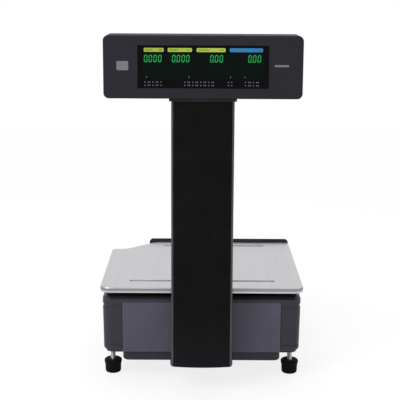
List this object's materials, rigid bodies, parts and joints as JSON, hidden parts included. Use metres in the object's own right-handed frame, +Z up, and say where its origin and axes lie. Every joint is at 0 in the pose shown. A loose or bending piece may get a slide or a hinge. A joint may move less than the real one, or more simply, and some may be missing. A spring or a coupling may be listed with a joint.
{
  "type": "retail price scale",
  "caption": "Counter price scale with a stainless platter, display head on a column, operator keyboard, label printer and levelling feet.",
  "frame": {"origin": "centre of the overall box at bench level, under the feet", "axes": "+Z up, -Y towards the customer who reads the column display, +Y towards the operator's keyboard"},
  "size_m": [0.32, 0.479, 0.5438],
  "materials": {
    "black_rubber": "matt",
    "zinc_steel": "zinc plated",
    "stainless": "brushed",
    "cast_aluminium": "as cast",
    "chassis_paint": "powder coat",
    "milled_aluminium": "milled",
    "dark_grey_plastic": "fine texture",
    "grey_plastic": "fine texture",
    "black_plastic": "satin",
    "bracket_paint": "powder coat",
    "smoked_window": "polished",
    "green_board": "solder mask",
    "key_white": "matt",
    "motor_can": "bright",
    "label_paper": "paper",
    "ribbon": "pvc"
  },
  "bodies": {
    "base": {"base_chassis": "chassis_paint", "blank_badges": "milled_aluminium", "case_screws": "zinc_steel", "column_bracket": "bracket_paint", "column_extrusion": "milled_aluminium", "column_front_cover": "black_plastic", "console_housing": "dark_grey_plastic", "customer_centre_panel": "grey_plastic", "customer_display": "green_board", "customer_window": "smoked_window", "display_cable": "ribbon", "head_frame": "zinc_steel", "head_front_bezel": "dark_grey_plastic", "head_rear_cover": "dark_grey_plastic", "key_board": "green_board", "keyboard_panel": "grey_plastic", "left_side_housing": "dark_grey_plastic", "lid_hinge_pin": "zinc_steel", "load_cell": "milled_aluminium", "main_board": "green_board", "neck_collar": "dark_grey_plastic", "number_pad": "black_rubber", "operator_display": "green_board", "operator_lower_panel": "dark_grey_plastic", "operator_window": "smoked_window", "overload_stops": "zinc_steel", "port_sockets": "black_plastic", "power_entry": "black_plastic", "power_supply": "green_board", "preset_sheet": "key_white", "printer_frame": "zinc_steel", "printer_housing": "dark_grey_plastic", "printer_motor": "motor_can", "right_side_housing": "dark_grey_plastic", "spirit_level": "black_plastic", "thermal_head": "black_plastic", "top_cover": "grey_plastic"},
    "weigh_platform": {"platter_spider": "cast_aluminium", "platter_buffers": "black_rubber"},
    "platter": {"platter": "stainless"},
    "front_left_foot": {"front_left_foot_pad": "black_rubber", "front_left_foot_stud": "zinc_steel"},
    "front_right_foot": {"front_right_foot_pad": "black_rubber", "front_right_foot_stud": "zinc_steel"},
    "rear_left_foot": {"rear_left_foot_pad": "black_rubber", "rear_left_foot_stud": "zinc_steel"},
    "rear_right_foot": {"rear_right_foot_pad": "black_rubber", "rear_right_foot_stud": "zinc_steel"},
    "power_rocker": {"power_rocker": "black_plastic"},
    "lid": {"printer_lid": "dark_grey_plastic"},
    "latch": {"lid_latch": "black_plastic"},
    "platen": {"platen_shaft": "zinc_steel", "platen_rubber": "black_rubber", "platen_gear": "key_white"},
    "pinion": {"motor_pinion": "key_white"},
    "roll": {"label_roll": "label_paper"},
    "print_key": {"print_key": "key_white"},
    "feed_key": {"feed_key": "key_white"},
    "total_key": {"total_key": "key_white"},
    "clear_key": {"clear_key": "key_white"}
  },
  "joints": [
    {"name": "weigh_deflection", "type": "slide", "parent": "base", "child": "weigh_platform", "axis": [0, 0, 1], "range_m": [-0.0007, 0], "stiffness_N_per_m": 245000, "springref_m": 0.00005, "deforming": ["load_cell"]},
    {"name": "platter_lift", "type": "slide", "parent": "weigh_platform", "child": "platter", "axis": [0, 0, 1], "range_m": [0, 0.06]},
    {"name": "front_left_foot_screw", "type": "slide", "parent": "base", "child": "front_left_foot", "axis": [0, 0, 1], "range_m": [-0.008, 0.006]},
    {"name": "front_right_foot_screw", "type": "slide", "parent": "base", "child": "front_right_foot", "axis": [0, 0, 1], "range_m": [-0.008, 0.006]},
    {"name": "rear_left_foot_screw", "type": "slide", "parent": "base", "child": "rear_left_foot", "axis": [0, 0, 1], "range_m": [-0.008, 0.006]},
    {"name": "rear_right_foot_screw", "type": "slide", "parent": "base", "child": "rear_right_foot", "axis": [0, 0, 1], "range_m": [-0.008, 0.006]},
    {"name": "power_rocker_tilt", "type": "hinge", "parent": "base", "child": "power_rocker", "pos_m": [0.154, -0.0765, 0.071], "axis": [0, 1, 0], "range_deg": [0, 16]},
    {"name": "lid_hinge", "type": "hinge", "parent": "base", "child": "lid", "pos_m": [-0.126, 0.121, 0.1234], "axis": [1, 0, 0], "range_deg": [0, 85]},
    {"name": "latch_slide", "type": "slide", "parent": "lid", "child": "latch", "axis": [0, -0.9816, 0.1908], "range_m": [0, 0.004], "stiffness_N_per_m": 400, "springref_m": -0.002},
    {"name": "platen_spin", "type": "hinge", "parent": "base", "child": "platen", "pos_m": [-0.127, 0.222, 0.088], "axis": [1, 0, 0], "continuous": true},
    {"name": "pinion_spin", "type": "hinge", "parent": "base", "child": "pinion", "pos_m": [-0.115, 0.20722, 0.07559], "axis": [1, 0, 0], "continuous": true},
    {"name": "roll_spin", "type": "hinge", "parent": "base", "child": "roll", "pos_m": [-0.127, 0.158, 0.082], "axis": [1, 0, 0], "continuous": true},
    {"name": "print_key_press", "type": "slide", "parent": "base", "child": "print_key", "axis": [0, 0.3987, 0.9171], "range_m": [-0.002, 0], "stiffness_N_per_m": 500, "springref_m": 0.001},
    {"name": "feed_key_press", "type": "slide", "parent": "base", "child": "feed_key", "axis": [0, 0.3987, 0.9171], "range_m": [-0.002, 0], "stiffness_N_per_m": 500, "springref_m": 0.001},
    {"name": "total_key_press", "type": "slide", "parent": "base", "child": "total_key", "axis": [0, 0.3987, 0.9171], "range_m": [-0.002, 0], "stiffness_N_per_m": 500, "springref_m": 0.001},
    {"name": "clear_key_press", "type": "slide", "parent": "base", "child": "clear_key", "axis": [0, 0.3987, 0.9171], "range_m": [-0.002, 0], "stiffness_N_per_m": 500, "springref_m": 0.001}
  ],
  "couplings": [
    {"joint": "pinion_spin", "follows": "platen_spin", "ratio": -2.8},
    {"joint": "roll_spin", "follows": "platen_spin", "ratio": 0.2308}
  ]
}
